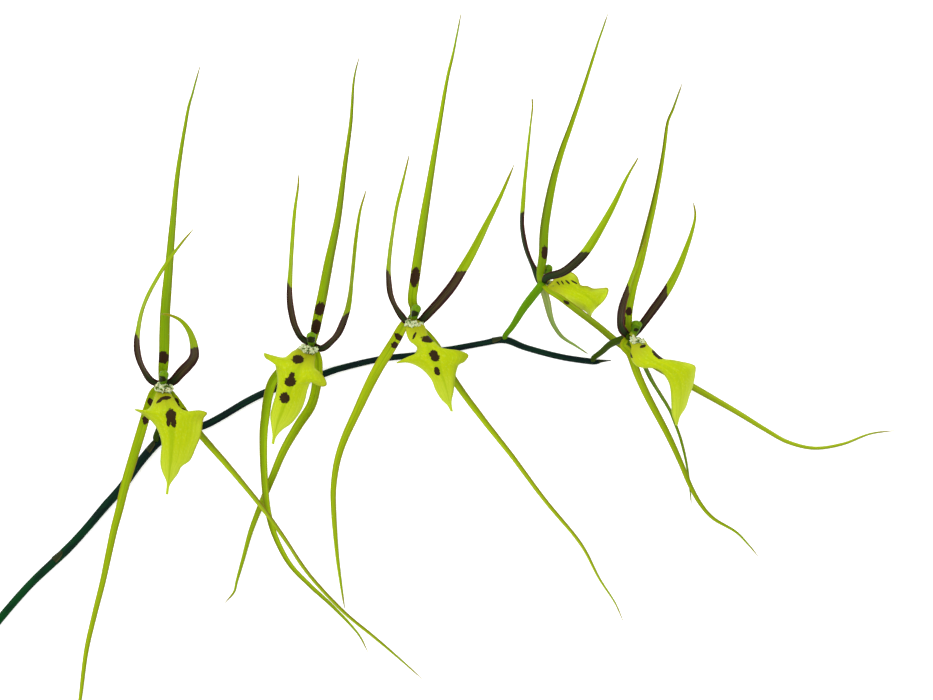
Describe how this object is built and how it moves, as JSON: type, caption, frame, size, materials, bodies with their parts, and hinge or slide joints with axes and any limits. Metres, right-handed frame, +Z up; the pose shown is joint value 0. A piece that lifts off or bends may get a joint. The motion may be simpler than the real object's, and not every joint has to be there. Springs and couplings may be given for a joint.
{
  "type": "brassia orchid spray",
  "caption": "Cut flower spray of a green spider orchid with long narrow sepals and brown-spotted lips, lying on a surface.",
  "frame": {"origin": "on the surface that the spray lies on, under the middle of its bounding box", "axes": "+X along the stem from the cut end to the tip, +Y the way the dorsal sepals point, +Z up from the surface, the way the blooms look"},
  "size_m": [0.4378, 0.3406, 0.0684],
  "materials": {
    "stem": "smooth dark green plant stem",
    "ovary": "ribbed green plant tissue",
    "sepal": "satin yellow-green sepal with brown marks",
    "petal": "satin green petal, dark brown in its lower half",
    "lip": "soft yellow-green lip with brown spots and veins",
    "column": "waxy green column"
  },
  "bodies": {
    "root": {"stem": "stem", "bloom_1_ovary": "ovary", "bloom_1_dorsal_sepal": "sepal", "bloom_1_lateral_sepal_left": "sepal", "bloom_1_lateral_sepal_right": "sepal", "bloom_1_petal_left": "petal", "bloom_1_petal_right": "petal", "bloom_1_lip": "lip", "bloom_1_column": "column", "bloom_2_ovary": "ovary", "bloom_2_dorsal_sepal": "sepal", "bloom_2_lateral_sepal_left": "sepal", "bloom_2_lateral_sepal_right": "sepal", "bloom_2_petal_left": "petal", "bloom_2_petal_right": "petal", "bloom_2_lip": "lip", "bloom_2_column": "column", "bloom_3_ovary": "ovary", "bloom_3_dorsal_sepal": "sepal", "bloom_3_lateral_sepal_left": "sepal", "bloom_3_lateral_sepal_right": "sepal", "bloom_3_petal_left": "petal", "bloom_3_petal_right": "petal", "bloom_3_lip": "lip", "bloom_3_column": "column", "bloom_4_ovary": "ovary", "bloom_4_dorsal_sepal": "sepal", "bloom_4_lateral_sepal_left": "sepal", "bloom_4_lateral_sepal_right": "sepal", "bloom_4_petal_left": "petal", "bloom_4_petal_right": "petal", "bloom_4_lip": "lip", "bloom_4_column": "column", "bloom_5_ovary": "ovary", "bloom_5_dorsal_sepal": "sepal", "bloom_5_lateral_sepal_left": "sepal", "bloom_5_lateral_sepal_right": "sepal", "bloom_5_petal_left": "petal", "bloom_5_petal_right": "petal", "bloom_5_lip": "lip", "bloom_5_column": "column"}
  },
  "joints": []
}
